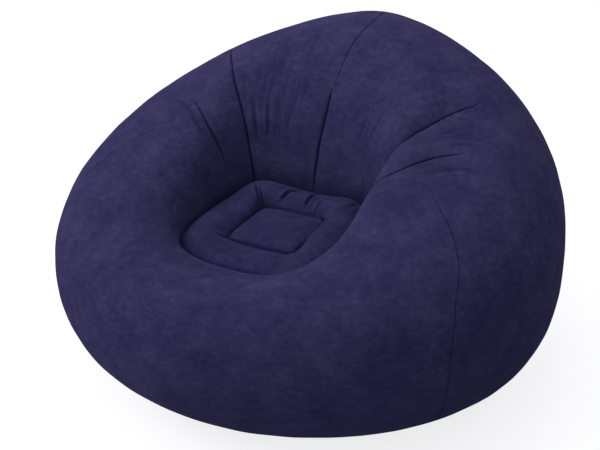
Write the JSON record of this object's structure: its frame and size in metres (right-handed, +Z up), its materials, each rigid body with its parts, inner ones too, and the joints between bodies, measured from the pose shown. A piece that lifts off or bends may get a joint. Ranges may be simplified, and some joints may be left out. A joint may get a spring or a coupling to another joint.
{
  "type": "inflatable lounge chair",
  "caption": "Low round inflatable lounge chair of flocked vinyl with a sunken seat, raised back and a two-stage air valve.",
  "frame": {"origin": "middle of the bounding box on the floor, on the underside of the base", "axes": "+Z up, the chair faces -Y, and +X is the right side seen by someone who faces it"},
  "size_m": [1.07, 1.039, 0.6737],
  "materials": {
    "flocked_skin": "short velvet flock on vinyl, matt with a soft sheen",
    "base_vinyl": "smooth matt vinyl",
    "inner_vinyl": "bare matt vinyl",
    "valve_vinyl": "satin moulded soft vinyl",
    "flap_rubber": "soft matt film"
  },
  "bodies": {
    "chamber": {"front_panel": "flocked_skin", "rear_right_panel": "flocked_skin", "rear_left_panel": "flocked_skin", "seat_sheet": "flocked_skin", "base_sheet": "base_vinyl", "seat_tie_band": "inner_vinyl", "pad_tie_band": "inner_vinyl", "valve_flange": "valve_vinyl", "plug_strap": "valve_vinyl"},
    "plug": {"valve_plug": "valve_vinyl"},
    "cap": {"valve_cap": "valve_vinyl"},
    "flap": {"check_flap": "flap_rubber"}
  },
  "joints": [
    {"name": "plug_pull", "type": "slide", "parent": "chamber", "child": "plug", "axis": [-0.3416, 0.9399, 0], "range_m": [0, 0.018]},
    {"name": "cap_flip", "type": "hinge", "parent": "plug", "child": "cap", "pos_m": [-0.18938, 0.49261, 0.28581], "axis": [0.9399, 0.3416, 0], "range_deg": [0, 108]},
    {"name": "flap_swing", "type": "hinge", "parent": "plug", "child": "flap", "pos_m": [-0.18316, 0.47551, 0.28181], "axis": [-0.9399, -0.3416, 0], "range_deg": [0, 50]}
  ]
}
